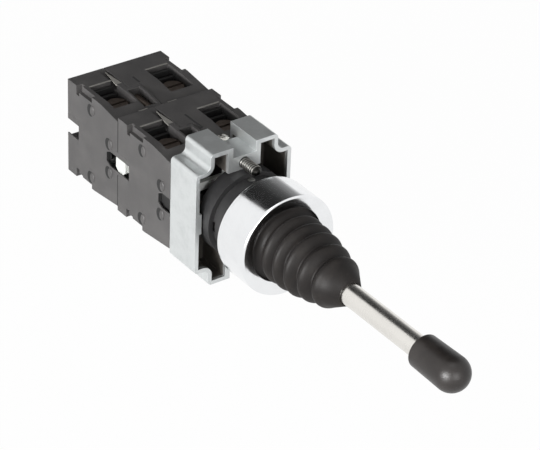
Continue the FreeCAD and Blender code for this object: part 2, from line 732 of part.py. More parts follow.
def build_housing(label, layer):
    """Moulded block: sloped front, screw ear, terminal wells, side windows and plunger channel.

    The front window of a rear block (layer 1) gives the push rod's flag room; a front block's is a recess.
    """
    body = new_body(label)
    inner = "block_gap / 2"
    outer = "(block_gap / 2 + block_width)"
    high, low = "block_height / 2", "block_front_height / 2"
    above = "%s + overcut" % high
    pad_solid(body, "YZ_Plane", [
        ("0", low), ("slope_length", high), ("block_length", high), ("block_length", "-" + high),
        ("slope_length_below", "-" + high), ("0", "-" + low),
    ], inner, outer)
    rear = "block_length + overcut"
    strip = "block_length - edge_strip"
    ear = "block_length - ear_length"
    box(body, ("%s - ear_width" % inner, inner + " + overlap"), (ear, "block_length"),
        ("%s - ear_height" % high, high), cut=False)
    box(body, ("0", "ear_width + fit_gap"), (ear + " - slide_gap", rear),
        ("-(%s)" % above, "ear_height - %s + slide_gap" % high))
    for ends in (same, mirrored):
        box(body, (outer + " - edge_recess_width", outer + " + overcut"), (strip + " - edge_recess", strip),
            ends(high + " - edge_recess_height", above))
        box(body, (outer + " - edge_slot_width", outer + " + overcut"), (strip + " - edge_slot", strip),
            ends(high + " - edge_slot_height", above))
        box(body, ("well_inner", "well_inner + well_width"), ("well_front", "well_rear"),
            ends("well_floor", above))
        for step in (1, 2):
            back = "rib_rear - %d * rib_pitch" % (step - 1)
            box(body, ("well_inner - overlap", "well_inner + well_width + overlap"),
                (back + " - rib_thickness", back),
                ends("well_floor - overlap", "%s - %d * rib_drop" % (high, step)), cut=False)
        floor = "well_floor + strip_thickness + clamp_plate_thickness - terminal_length - fit_gap"
        rod(body, "z", ("terminal_place", "terminal_depth"), "terminal_shank + 2 * fit_gap",
            *ends(floor, "well_floor + overcut"))
    box(body, ("cavity_inner", "cavity_outer"), ("cavity_front", "cavity_rear"),
        mirrored("cavity_floor", above))
    pad_solid(body, "YZ_Plane", [
        ("ramp_rear", "-" + high), ("ramp_front", "ramp_depth - " + high), ("ramp_front", "-" + high),
    ], "ear_width", "ear_width + ramp_width", cut=True)
    beside = "plunger_place - plunger_width / 2 - 3 * slide_gap"
    skin = outer + (" - window_width" if layer else " - window_recess")
    for start, end, near in (("-overcut", "window_depth", skin),
                             ("block_length - window_depth", rear, beside)):
        box(body, (near, outer + " + overcut"), (start, end), ("-window_bottom", "window_top"))
    half = "(plunger_width / 2 + slide_gap)"
    box(body, ("plunger_place - " + half, "plunger_place + " + half), ("-overcut", "chamber_rear"),
        ("-" + half, half))
    channel = "(rod_width / 2 + slide_gap)"
    box(body, ("rod_place - " + channel, "rod_place + " + channel), ("0", "block_length"),
        ("-rod_height / 2 - slide_gap", "rod_height / 2 + slide_gap"))
    box(body, (inner + " + cover_thickness", "plunger_place + " + half), ("chamber_front", "chamber_rear"),
        ("-chamber_height / 2", "chamber_height / 2"))
    box(body, ("0", inner + " + cover_thickness + fit_gap"),
        ("cover_front - fit_gap", "cover_front + cover_length + fit_gap"),
        ("-cover_height / 2 - fit_gap", "cover_height / 2 + fit_gap"))
    leg = "(strip_width / 2 + fit_gap)"
    stop = "bridge_place + bridge_thickness + contact_gap"
    for ends in (same, mirrored):
        box(body, ("plunger_place - " + leg, "plunger_place + " + leg),
            (stop + " - fit_gap", stop + " + strip_thickness + fit_gap"),
            ends("chamber_height / 2 - overcut", "well_floor + overcut"))
    ear_bore = ("-fixing_place", "fixing_height")
    sink = "block_length - fixing_head_length - fixing_sink - slide_gap"
    rod(body, "y", ear_bore, "fixing_diameter + 4 * fit_gap", "0", "block_length")
    rod(body, "y", ear_bore, "fixing_head + 4 * fit_gap", sink, rear)
    rod(body, "y", ("fixing_place", "-fixing_height"), "fixing_diameter + 4 * fit_gap", "-overcut",
        ear + " + overcut")
    for along, up in (("dimple_rear", "dimple_above"), ("dimple_front", "window_top + dimple_rise"),
                      ("dimple_front", "-window_bottom - dimple_rise"), ("dimple_rear", "-dimple_below")):
        rod(body, "x", (along, up), "dimple_diameter", outer + " - dimple_depth", outer + " + overcut")
        rod(body, "x", (along, up), "rivet_diameter", outer + " - dimple_depth - overlap",
            outer + " - rivet_depth", cut=False)
    return body


def build_block(side, layer, turned):
    """One contact block: housing, cover, plunger, contacts, return spring, terminals and fixing screw."""
    name = "%s_%s_" % (("front", "rear")[layer], side)
    pieces = [build_housing(name + "housing", layer)]
    cover = new_body(name + "cover")
    pieces.append(cover)
    box(cover, ("block_gap / 2", "block_gap / 2 + cover_thickness"),
        ("cover_front", "cover_front + cover_length"), ("-cover_height / 2", "cover_height / 2"), cut=False)

    plunger = new_body(name + "plunger")
    pieces.append(plunger)
    half = "plunger_width / 2"
    box(plunger, ("plunger_place - " + half, "plunger_place + " + half), ("-plunger_head", "plunger_rear"),
        ("-" + half, half), cut=False)
    window = "(bridge_width / 2 + fit_gap)"
    box(plunger, ("plunger_place - " + window, "plunger_place + " + window),
        ("bridge_place - fit_gap", "bridge_place + bridge_thickness + bridge_room"),
        ("-plunger_width", "plunger_width"))
    rod(plunger, "y", ("plunger_place", "0"), "plunger_nose", "plunger_rear - overlap",
        "plunger_rear + plunger_nose_length", cut=False)

    bridge = new_body(name + "contact_bridge")
    pieces.append(bridge)
    box(bridge, ("plunger_place - bridge_width / 2", "plunger_place + bridge_width / 2"),
        ("bridge_place", "bridge_place + bridge_thickness"), ("-bridge_height / 2", "bridge_height / 2"),
        cut=False)
    pieces += build_terminals(name)

    fixing = new_body(name + "fixing_screw")
    pieces.append(fixing)
    ear_bore = ("-fixing_place", "fixing_height")
    head = "block_length - fixing_head_length - fixing_sink"
    rear = head + " + fixing_head_length"
    rod(fixing, "y", ear_bore, "fixing_diameter", "-fixing_tip", head + " + overlap", cut=False)
    rod(fixing, "y", ear_bore, "fixing_head", head, rear, cut=False)
    rod(fixing, "y", ear_bore, "fixing_diameter + 2 * fit_gap", rear + " - fixing_lap",
        "block_length + overcut")
    for piece in pieces:
        place_block(piece, layer, turned)

    coil = build_spring(name + "return_spring", "return_radius", "return_radius", "plunger_rear",
                        "chamber_rear", "plunger_place")
    place_block(coil, layer, turned)


def build_terminals(name):
    """Two contact strips, their screws and the plates that clamp the wires, above and below."""
    strips = new_body(name + "contact_strips")
    screws = new_body(name + "terminal_screws")
    plates = new_body(name + "wire_clamps")
    spot = ("terminal_place", "terminal_depth")
    bore = "terminal_shank + 2 * fit_gap"
    stop = "bridge_place + bridge_thickness + contact_gap"
    seat = "well_floor + strip_thickness"
    top = seat + " + clamp_plate_thickness"
    crown = top + " + terminal_head_height"
    plate = ("terminal_place - clamp_plate / 2", "terminal_place + clamp_plate / 2")
    for ends in (same, mirrored):
        box(strips, ("plunger_place - strip_width / 2", "plunger_place + strip_width / 2"),
            (stop, stop + " + strip_thickness"), ends("bridge_height / 2 - 2 * overcut", seat), cut=False)
        box(strips, plate, ("well_front + 2 * slide_gap", stop + " + strip_thickness"),
            ends("well_floor", seat), cut=False)
        rod(strips, "z", spot, bore, *ends("well_floor - overcut", "well_floor + 2 * overcut"))
        box(plates, plate, ("terminal_depth - clamp_plate / 2", "terminal_depth + clamp_plate / 2"),
            ends(seat, top), cut=False)
        rod(plates, "z", spot, bore, *ends("well_floor", top + " + overcut"))
        rod(screws, "z", spot, "terminal_shank", *ends(top + " - terminal_length", top + " + overlap"),
            cut=False)
        rod(screws, "z", spot, "terminal_head", *ends(top, crown), cut=False)
        box(screws, ("terminal_place - terminal_head", "terminal_place + terminal_head"),
            ("terminal_depth - screw_slot / 2", "terminal_depth + screw_slot / 2"),
            ends(crown + " - screw_slot_depth", crown + " + overcut"))
    return [strips, screws, plates]


def build_pushers(side, rod_side, turned):
    """Sliders between the rocker and the plungers: a short one, and a long rod that passes the front block.

    The long rod's foot ends in a flag that shows in the window between the blocks.
    """
    touch = "hub_rear + nub_stem + nub_radius + touch_gap"
    front = (touch, touch + " + pusher_thickness")
    pad = "pad_width / 2"
    inner_pad, outer_pad = "arm_reach - pad_length / 2", "arm_reach + pad_length / 2"
    head = "collar_front + collar_depth - plunger_head - touch_gap"
    half = "plunger_width / 2"
    pusher = new_body("pusher_" + side)
    box(pusher, (inner_pad, outer_pad), front, ("-" + pad, pad), cut=False)
    box(pusher, ("plunger_place - " + half, "plunger_place + " + half), (touch, head), ("-" + half, half),
        cut=False)
    long_rod = new_body("push_rod_" + rod_side)
    bar = ("-arm_reach - bar_half", "bar_half - arm_reach")
    edge = ("rod_place - rod_width / 2", "rod_place + rod_width / 2")
    foot = "%s + block_length" % head
    upright = ("-rod_height / 2", "rod_height / 2")
    box(long_rod, ("-" + pad, pad), front, mirrored(inner_pad, outer_pad), cut=False)
    box(long_rod, ("0", edge[1]), front, bar, cut=False)
    box(long_rod, edge, front, (bar[0], upright[1]), cut=False)
    box(long_rod, edge, (touch, foot), upright, cut=False)
    box(long_rod, ("plunger_place - " + half, edge[1]), ("%s - pusher_thickness" % foot, foot), upright,
        cut=False)
    start, end = "(%s - pusher_thickness)" % foot, "(%s - pusher_thickness + flag_length)" % foot
    tall = "flag_height / 2"
    pad_solid(long_rod, "YZ_Plane", [
        (start + " + flag_bevel", tall), (start, tall + " - flag_bevel"), (start, "flag_bevel - " + tall),
        (start + " + flag_bevel", "-" + tall), (end + " - flag_bevel", "-" + tall),
        (end, "flag_bevel - " + tall), (end, tall + " - flag_bevel"), (end + " - flag_bevel", tall),
    ], edge[0], "block_gap / 2 + block_width - flag_inset")
    turn = FreeCAD.Rotation(FreeCAD.Vector(0, 1, 0), 180 if turned else 0)
    for piece in (pusher, long_rod):
        piece.Placement = FreeCAD.Placement(FreeCAD.Vector(), turn)


def write_parts():
    """Check every piece and write it to its own file."""
    document.recompute()
    for thing in document.Objects:
        if "Invalid" in thing.State or "Error" in thing.State:
            raise RuntimeError("%s failed: %s" % (thing.Label, thing.State))
    os.makedirs("parts", exist_ok=True)
    for part in parts:
        shape = part.Shape
        if shape.isNull() or not shape.isValid() or not shape.Solids:
            raise RuntimeError("%s has no valid shape" % part.Label)
        shape.exportStep("parts/%s.step" % part.Label)
        print("%-28s %2d solids %10.2f mm3" % (part.Label, len(shape.Solids), shape.Volume))


build_bezel()
build_gasket()
build_head_body()
build_gimbal()
build_gate()
build_bellows()
build_lever()
build_collar()
build_clamp_screw("clamp_screw_top", "")
build_clamp_screw("clamp_screw_bottom", "-")
for layer in (0, 1):
    build_block("right", layer, False)
    build_block("left", layer, True)
build_pushers("right", "down", False)
build_pushers("left", "up", True)
write_parts()
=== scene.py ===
import json
import logging
import math
from dataclasses import dataclass
from enum import Enum
from typing import Any, Sequence

import bmesh
import bpy
import numpy as np
from mathutils import Matrix

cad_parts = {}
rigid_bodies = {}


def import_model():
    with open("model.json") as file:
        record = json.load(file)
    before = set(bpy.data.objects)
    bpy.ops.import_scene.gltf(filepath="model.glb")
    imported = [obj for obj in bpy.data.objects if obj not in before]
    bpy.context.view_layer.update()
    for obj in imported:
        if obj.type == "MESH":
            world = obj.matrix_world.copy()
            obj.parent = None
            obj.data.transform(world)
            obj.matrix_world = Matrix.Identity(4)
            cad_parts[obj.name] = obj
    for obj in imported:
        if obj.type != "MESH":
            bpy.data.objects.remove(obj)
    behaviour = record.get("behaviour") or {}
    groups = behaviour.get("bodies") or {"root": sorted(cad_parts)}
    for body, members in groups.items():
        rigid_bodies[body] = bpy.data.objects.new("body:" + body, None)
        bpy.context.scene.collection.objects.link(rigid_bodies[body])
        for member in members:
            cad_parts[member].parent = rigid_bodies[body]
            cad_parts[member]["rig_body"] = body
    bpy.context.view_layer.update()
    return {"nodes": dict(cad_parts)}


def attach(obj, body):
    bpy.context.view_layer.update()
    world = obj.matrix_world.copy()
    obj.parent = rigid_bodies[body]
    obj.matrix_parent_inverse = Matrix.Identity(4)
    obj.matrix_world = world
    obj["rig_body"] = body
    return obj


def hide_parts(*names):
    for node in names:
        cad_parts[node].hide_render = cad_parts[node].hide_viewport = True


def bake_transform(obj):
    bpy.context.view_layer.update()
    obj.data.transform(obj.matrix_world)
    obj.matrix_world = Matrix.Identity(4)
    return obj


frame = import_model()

log = logging.getLogger("joystick")

MM = 0.001
ROUND_STEPS = 144  # points round a turned piece
SCREW_STEPS = 48  # points round a screw
JOIN = 2e-6  # corners of a CAD mesh that lie closer are one, in metres
FLAT = math.radians(1.5)  # faces of a CAD mesh that bend less are joined
SHARP = math.radians(35)  # edges that bend more are rounded
EDGE = 0.00005  # width of the border of a masked area, in metres


# Shader maths


class Value:
    """One output socket of a material, with Python's operators as Math nodes."""

    def __init__(self, board: "Board", socket: bpy.types.NodeSocket) -> None:
        """Remember the board that the socket is on."""
        self.board = board
        self.socket = socket

    def _math(self, operation: str, *terms: Any) -> "Value":
        """Add a Math node.

        Args:
            operation: the node's operation.
            terms: its values or links, in order.

        Returns:
            The node's output.
        """
        return self.board.add("ShaderNodeMath", {"operation": operation}, dict(enumerate(terms)))

    def __add__(self, other: Any) -> "Value":
        """Return self + other."""
        return self._math("ADD", self, other)

    def __radd__(self, other: Any) -> "Value":
        """Return other + self."""
        return self._math("ADD", other, self)

    def __sub__(self, other: Any) -> "Value":
        """Return self - other."""
        return self._math("SUBTRACT", self, other)

    def __rsub__(self, other: Any) -> "Value":
        """Return other - self."""
        return self._math("SUBTRACT", other, self)

    def __mul__(self, other: Any) -> "Value":
        """Return self * other."""
        return self._math("MULTIPLY", self, other)

    def __rmul__(self, other: Any) -> "Value":
        """Return other * self."""
        return self._math("MULTIPLY", other, self)

    def __truediv__(self, other: Any) -> "Value":
        """Return self / other."""
        return self._math("DIVIDE", self, other)

    def __rtruediv__(self, other: Any) -> "Value":
        """Return other / self."""
        return self._math("DIVIDE", other, self)

    def __pow__(self, other: Any) -> "Value":
        """Return self to the power of other."""
        return self._math("POWER", self, other)

    def size(self) -> "Value":
        """Return the absolute value."""
        return self._math("ABSOLUTE", self)

    def above_zero(self) -> "Value":
        """Return itself, or 0 where it is negative."""
        return self._math("MAXIMUM", self, 0.0)

    def step(self, low: float, high: float) -> "Value":
        """Return 0 below low, 1 above high and a smooth rise between them."""
        return self.board.add("ShaderNodeMapRange", {"interpolation_type": "SMOOTHSTEP", "clamp": True},
                              {"Value": self, "From Min": low, "From Max": high})

    def past(self, start: float) -> "Value":
        """Return 0 below start and 1 above it, with a fine border."""
        return self.step(start, start + EDGE)

    def within(self, start: float, end: float) -> "Value":
        """Return 1 between start and end and 0 elsewhere, with fine borders."""
        return self.past(start) * (1 - self.past(end))


class Board:
    """The nodes of one material or world."""

    def __init__(self, name: str, world: bpy.types.World | None = None) -> None:
        """Start with an empty board.

        Args:
            name: the name of the material that is made when no world is given.
            world: the world that the board is for.
        """
        self.owner = world or bpy.data.materials.new(name)
        self.owner.use_nodes = True
        self.tree = self.owner.node_tree
        self.tree.nodes.clear()

    def add(self, kind: str, settings: dict[str, Any] | None = None,
            inputs: dict[Any, Any] | None = None, output: Any = 0) -> Value:
        """Add one node.

        Args:
            kind: the node's type.
            settings: its settings, set before anything else; "stops" gives a ramp's colours.
            inputs: values or links of its sockets, by name or number.
            output: the name or number of the output that is wanted.

        Returns:
            That output.
        """
        node = self.tree.nodes.new(kind)
        for name, setting in (settings or {}).items():
            if name == "stops":
                ramp = node.color_ramp
                while len(ramp.elements) < len(setting):
                    ramp.elements.new(1.0)
                for element, (place, colour) in zip(ramp.elements, setting):
                    element.position = place
                    element.color = (*colour, 1.0)
            else:
                setattr(node, name, setting)
        for name, given in (inputs or {}).items():
            if isinstance(given, Value):
                self.tree.links.new(given.socket, node.inputs[name])
            else:
                node.inputs[name].default_value = given
        return Value(self, node.outputs[output])

    def place(self) -> Value:
        """Return the Object coordinates."""
        return self.add("ShaderNodeTexCoord", output="Object")

    def axes(self) -> tuple[Value, Value, Value]:
        """Return x, y and z of the Object coordinates, in metres."""
        spot = self.place()
        return tuple(self.add("ShaderNodeSeparateXYZ", inputs={0: spot}, output=axis) for axis in "XYZ")

    def noise(self, size: float, detail: float = 3.0,
              stretch: tuple[float, float, float] = (1, 1, 1)) -> Value:
        """Return a noise from 0 to 1.

        Args:
            size: the size of its grains in metres.
            detail: how many finer layers it has.
            stretch: how much the grains are squeezed along each axis.

        Returns:
            The noise.
        """
        spot = self.add("ShaderNodeMapping", inputs={"Vector": self.place(), "Scale": stretch})
        return self.add("ShaderNodeTexNoise", inputs={"Vector": spot, "Scale": 1 / size, "Detail": detail,
                                                      "Roughness": 0.55}, output="Fac")

    def blend(self, share: Any, low: Any, high: Any) -> Value:
        """Return the colour low where share is 0 and high where it is 1."""
        inputs = {"Factor": share, 6: colour_of(low), 7: colour_of(high)}
        return self.add("ShaderNodeMix", {"data_type": "RGBA"}, inputs, output=2)

    def bump(self, height: Value, depth: float, strength: float = 1.0) -> Value:
        """Return a normal that is bent by a height from 0 to 1, which stands for depth in metres."""
        return self.add("ShaderNodeBump", inputs={"Height": height, "Distance": depth, "Strength": strength})

    def finish(self, **sockets: Any) -> bpy.types.Material:
        """Close the material with a Principled shader.

        Args:
            sockets: its values and links; an underscore stands for a space.

        Returns:
            The material.
        """
        named = {name.replace("_", " "): colour_of(given) for name, given in sockets.items()}
        self.close(self.add("ShaderNodeBsdfPrincipled", inputs=named))
        return self.owner

    def close(self, shader: Value, kind: str = "ShaderNodeOutputMaterial") -> None:
        """Link the last shader to an output node of that kind."""
        sink = self.tree.nodes.new(kind)
        self.tree.links.new(shader.socket, sink.inputs["Surface"])


def colour_of(given: Any) -> Any:
    """Return a three-part colour with its alpha, and anything else as it is."""
    if isinstance(given, tuple) and len(given) == 3:
        return (*given, 1.0)
    return given


# Finishes


@dataclass(frozen=True)
class Wells:
    """The terminal wells of the contact blocks, where shade is painted into the moulding's colour because
    little light reaches them. Metres.
    """

    across: tuple[float, float] = (0.0055, 0.0127)
    along: tuple[tuple[float, float], ...] = ((0.0245, 0.0370), (0.0497, 0.0622))
    floor: float = 0.0084
    rim: tuple[float, float] = (0.0130, 0.0139)

    def share(self, board: Board) -> Value:
        """Return 1 in a well and 0 outside it.

        Args:
            board: the material's board.

        Returns:
            The share.
        """
        x, y, z = board.axes()
        front, rear = (y.within(*span) for span in self.along)
        x, z = x.size(), z.size()
        return x.within(*self.across) * (front + rear) * z.past(self.floor) * (1 - z.step(*self.rim))


@dataclass(frozen=True)
class Moulding:
    """Glass-filled plastic with a fine spark-eroded grain, a little dust and flow marks, and painted shade in
    the terminal wells when wells are given.
    """

    name: str
    colour: tuple[float, float, float]
    dusty: tuple[float, float, float]
    gloss: float = 0.42
    grain: float = 0.00022
    wells: Wells | None = None
    # colour of the painted shade in the terminal wells
    well_shade: tuple[float, float, float] = (0.009, 0.009, 0.009)

    def material(self) -> bpy.types.Material:
        """Build the finish.

        Returns:
            Its material.
        """
        board = Board(self.name)
        cloud = board.noise(0.006, 4)
        fine = board.noise(self.grain, 2)
        flow = board.noise(0.004, 2, (1, 0.2, 1))
        shade = (cloud * 0.7 + flow * 0.3).step(0.35, 0.7)
        colour = board.blend(shade * 0.5 + fine * 0.25, self.colour, self.dusty)
        # painted shade: the colour is darkened in the terminal wells to stand for the shade there
        if self.wells is not None:
            colour = board.blend(self.wells.share(board), colour, self.well_shade)
        return board.finish(Base_Color=colour, Roughness=self.gloss + fine * 0.14 + shade * 0.06,
                            Normal=board.bump(fine * 0.8 + cloud * 0.2, 0.00004, 0.6), IOR=1.5)


@dataclass(frozen=True)
class Rubber:
    """Soft moulded rubber: matt, slightly brown, with fine pores and paler handled patches."""

    name: str
    colour: tuple[float, float, float]
    worn: tuple[float, float, float]
    gloss: float = 0.5
    shine: float = 0.3

    def material(self) -> bpy.types.Material:
        """Build the finish.

        Returns:
            Its material.
        """
        board = Board(self.name)
        patch = board.noise(0.005, 4).step(0.4, 0.75)
        pore = board.noise(0.0003, 3)
        colour = board.blend(patch * 0.6 + pore * 0.2, self.colour, self.worn)
        return board.finish(Base_Color=colour, Roughness=self.gloss + patch * 0.08 + pore * 0.1,
                            Normal=board.bump(pore, 0.00003, 0.7), IOR=1.4, Specular_IOR_Level=self.shine)


@dataclass(frozen=True)
class Chrome:
    """Bright plating: nearly a mirror, with faint haze and hair-fine wiping marks."""

    name: str
    colour: tuple[float, float, float] = (0.86, 0.87, 0.88)
    gloss: float = 0.1

    def material(self) -> bpy.types.Material:
        """Build the finish.

        Returns:
            Its material.
        """
        board = Board(self.name)
        haze = board.noise(0.004, 3).step(0.3, 0.8)
        hair = board.noise(0.0004, 2, (1, 0.05, 1))
        colour = board.blend(haze * 0.4, self.colour, tuple(part * 0.9 for part in self.colour))
        return board.finish(Base_Color=colour, Metallic=1.0, Roughness=self.gloss + haze * 0.05 + hair * 0.04,
                            Normal=board.bump(hair, 0.000004, 0.3))


@dataclass(frozen=True)
class TurnedSteel:
    """Polished bar with very fine turning rings along its length."""

    name: str
    colour: tuple[float, float, float] = (0.8, 0.78, 0.74)
    gloss: float = 0.2

    def material(self) -> bpy.types.Material:
        """Build the finish.

        Returns:
            Its material.
        """
        board = Board(self.name)
        ring = board.noise(0.0002, 2, (0.05, 1, 0.05))
        smear = board.noise(0.005, 3).step(0.35, 0.75)
        colour = board.blend(smear * 0.5, self.colour, tuple(part * 0.88 for part in self.colour))
        rough = self.gloss + ring * 0.08 + smear * 0.06
        return board.finish(Base_Color=colour, Metallic=1.0, Roughness=rough,
                            Normal=board.bump(ring, 0.000006, 0.5))


@dataclass(frozen=True)
class Hollow:
    """The inside of the cross-shaped collar, where shade is painted into the casting's colour. Metres, for
    one quarter of the cross.

    It is the room between the front and the floor, within the walls, outside the bay, and farther than
    rounding from the middle of each notch's arc.
    """

    wide: float = 0.01385
    tall: float = 0.01885
    notch: tuple[float, float] = (0.0123, 0.0168)
    rounding: float = 0.00285
    bay: tuple[float, float] = (0.00375, 0.0167)
    front: tuple[float, float] = (0.0075, 0.0087)
    floor: float = 0.01795

    def share(self, board: Board) -> Value:
        """Return 1 in the hollow and 0 outside it.

        Args:
            board: the material's board.

        Returns:
            The share.
        """
        x, y, z = board.axes()
        x, z = x.size(), z.size()
        across, up = (self.notch[0] - x).above_zero(), (self.notch[1] - z).above_zero()
        away = ((across * across + up * up) ** 0.5).step(self.rounding - EDGE, self.rounding)
        walls = x.past(self.wide) + z.past(self.tall)
        bay = (1 - x.past(self.bay[0])) * z.step(self.bay[1] - EDGE, self.bay[1])
        depth = y.step(*self.front) * (1 - y.past(self.floor))
        return away * depth * (1 - (walls + bay).step(0.0, 0.5))


@dataclass(frozen=True)
class CastZinc:
    """Barrel-plated die casting: satin, faintly pebbled, with cloudy darker stains and painted shade on its
    inside.
    """

    name: str
    colour: tuple[float, float, float]
    stain: tuple[float, float, float]
    # colour of the painted shade on the collar's inside
    inside: tuple[float, float, float]
    gloss: float = 0.34
    hollow: Hollow = Hollow()

    def material(self) -> bpy.types.Material:
        """Build the finish.

        Returns:
            Its material.
        """
        board = Board(self.name)
        cloud = board.noise(0.005, 5).step(0.4, 0.75)
        pebble = board.noise(0.0007, 3)
        colour = board.blend(cloud * 0.55 + pebble * 0.15, self.colour, self.stain)
        # painted shade: the collar's inside gets a dark, less metallic colour to stand for the shade there
        inner = self.hollow.share(board)
        colour = board.blend(inner, colour, self.inside)
        rough = self.gloss + cloud * 0.12 + pebble * 0.1
        return board.finish(Base_Color=colour, Metallic=(1 - inner) * 0.85, Roughness=rough,
                            Normal=board.bump(pebble * 0.7 + cloud * 0.3, 0.00005, 0.5))


@dataclass(frozen=True)
class Plated:
    """Small plated metal part: brighter than the casting, with file marks.

    Painted shade darkens the roots of the thread of one that has an axis: height, inner and outer radius, in
    metres.
    """

    name: str
    colour: tuple[float, float, float]
    dull: tuple[float, float, float]
    gloss: float = 0.28
    axis: tuple[float, float, float] | None = None
    # how dark the painted shade in the thread's roots is, as a share of the dull colour
    root_shade: float = 0.05

    def material(self) -> bpy.types.Material:
        """Build the finish.

        Returns:
            Its material.
        """
        board = Board(self.name)
        cloud = board.noise(0.0015, 4).step(0.35, 0.75)
        line = board.noise(0.0002, 2, (1, 0.1, 1))
        colour = board.blend(cloud * 0.7, self.colour, self.dull)
        # painted shade: the thread's roots are darkened to stand for the shade in them
        if self.axis is not None:
            height, low, high = self.axis
            x, _, z = board.axes()
            up = z.size() - height
            crest = ((x * x + up * up) ** 0.5).step(low, high)
            colour = board.blend(crest, tuple(part * self.root_shade for part in self.dull), colour)
        rough = self.gloss + cloud * 0.15 + line * 0.08
        return board.finish(Base_Color=colour, Metallic=1.0, Roughness=rough,
                            Normal=board.bump(line, 0.00001, 0.6))


class Finish(Enum):
    """The finishes of this object's pieces."""

    BLOCK = Moulding("charcoal_moulding", (0.049, 0.047, 0.047), (0.098, 0.094, 0.092), wells=Wells())
    # painted highlight: pale patches that stand for faces and edges that the light catches
    HIGHLIGHT = Moulding("painted_highlight", (0.26, 0.25, 0.23), (0.34, 0.33, 0.31))
    # painted shade: dark sheets that stand for shadows beside the studs, the shaded seam gap, the slit and
    # the side windows
    SHADE = Moulding("painted_shade", (0.008, 0.008, 0.008), (0.012, 0.012, 0.012), 0.7)
    NECK = Moulding("black_moulding", (0.018, 0.018, 0.019), (0.035, 0.034, 0.034))
    WHITE = Moulding("white_moulding", (0.62, 0.63, 0.61), (0.52, 0.53, 0.51), 0.35)
    GREEN = Moulding("green_moulding", (0.02, 0.10, 0.07), (0.03, 0.14, 0.09), 0.35)
    BELLOWS = Rubber("bellows_rubber", (0.010, 0.0085, 0.008), (0.022, 0.019, 0.017), 0.42)
    CAP = Rubber("cap_rubber", (0.014, 0.0115, 0.0105), (0.027, 0.023, 0.021), 0.3, 0.65)
    SEAL = Rubber("seal_rubber", (0.018, 0.017, 0.017), (0.032, 0.03, 0.03), 0.55)
    CHROME = Chrome("bezel_chrome")
    STEEL = TurnedSteel("lever_steel")
    # the third colour is painted shade for the collar's inside
    ZINC = CastZinc("collar_zinc", (0.64, 0.66, 0.66), (0.47, 0.49, 0.49), (0.075, 0.068, 0.06))
    SCREW = Plated("screw_zinc", (0.60, 0.60, 0.57), (0.42, 0.42, 0.40))
    THREAD = Plated("clamp_screw_zinc", (0.50, 0.49, 0.46), (0.34, 0.33, 0.31), 0.3,
                    (0.0146, 0.00142, 0.00158))
    COPPER = Plated("clamp_copper", (0.34, 0.19, 0.09), (0.16, 0.09, 0.05), 0.34)
    TERMINAL = Plated("terminal_steel", (0.16, 0.13, 0.11), (0.09, 0.075, 0.065), 0.38)
    BRASS = Plated("contact_brass", (0.72, 0.50, 0.22), (0.55, 0.38, 0.17))
    SPRING = Plated("spring_steel", (0.50, 0.49, 0.47), (0.36, 0.35, 0.34), 0.3)


MATERIALS: dict[Finish, bpy.types.Material] = {}


def material_of(finish: Finish) -> bpy.types.Material:
    """Return a finish's material, made the first time that it is asked for."""
    if finish not in MATERIALS:
        MATERIALS[finish] = finish.value.material()
    return MATERIALS[finish]


# Shapes


def placed(name: str, data: bpy.types.ID) -> bpy.types.Object:
    """Add an object to the scene.

    Args:
        name: its name.
        data: its mesh, lamp or camera.

    Returns:
        The object.
    """
    thing = bpy.data.objects.new(name, data)
    bpy.context.scene.collection.objects.link(thing)
    return thing


def piece_from(name: str, points: np.ndarray, quads: np.ndarray, finish: Finish) -> bpy.types.Object:
    """Make a closed piece from points and faces.

    Args:
        name: the piece's name.
        points: its points in metres, one row each.
        quads: its faces, four point numbers each.
        finish: its finish.

    Returns:
        The object, with doubles merged and faces outwards.
    """
    mesh = bpy.data.meshes.new(name)
    mesh.from_pydata(points.tolist(), [], quads.tolist())
    work = bmesh.new()
    work.from_mesh(mesh)
    bmesh.ops.remove_doubles(work, verts=work.verts, dist=1e-7)
    bmesh.ops.dissolve_degenerate(work, edges=work.edges, dist=1e-8)
    bmesh.ops.recalc_face_normals(work, faces=work.faces)
    work.to_mesh(mesh)
    work.free()
    mesh.shade_smooth()
    mesh.materials.append(material_of(finish))
    return placed(name, mesh)


def grid_quads(rows: int, columns: int, closed_rows: bool) -> np.ndarray:
    """Return the faces of a grid whose columns wrap round.

    Args:
        rows: number of rows of points.
        columns: number of points in a row.
        closed_rows: whether the last row joins the first.

    Returns:
        Four point numbers for each face.
    """
    row, column = np.meshgrid(np.arange(rows if closed_rows else rows - 1), np.arange(columns), indexing="ij")
    below, right = (row + 1) % rows, (column + 1) % columns
    row, below = row * columns, below * columns
    return np.stack([row + column, below + column, below + right, row + right], axis=-1).reshape(-1, 4)


def rounded(corners: Sequence[tuple[float, ...]], closed: bool = True, steps: int = 6) -> np.ndarray:
    """Round the corners of an outline.

    A corner P of size q becomes the curve (1 - t)^2 S + 2 t (1 - t) P + t^2 E, where S and E lie on the
    two sides at the distance q from P.

    Args:
        corners: (radius, y) or (radius, y, q) in millimetres.
        closed: whether the last corner joins the first; an open outline keeps its two ends.
        steps: points on each curve, less one.

    Returns:
        The outline's points, one row each.
    """
    spots = np.array([corner[:2] for corner in corners], float)
    sizes = [corner[2] if len(corner) > 2 else 0.0 for corner in corners]
    t = np.linspace(0, 1, steps + 1)[:, None]
    found = []
    for index, (spot, size) in enumerate(zip(spots, sizes)):
        at_end = not closed and index in (0, len(spots) - 1)
        if size == 0 or at_end:
            found.append(spot[None])
            continue
        before, after = spots[index - 1] - spot, spots[(index + 1) % len(spots)] - spot
        start = spot + before / np.linalg.norm(before) * size
        end = spot + after / np.linalg.norm(after) * size
        found.append((1 - t) ** 2 * start + 2 * t * (1 - t) * spot + t ** 2 * end)
    return np.concatenate(found)


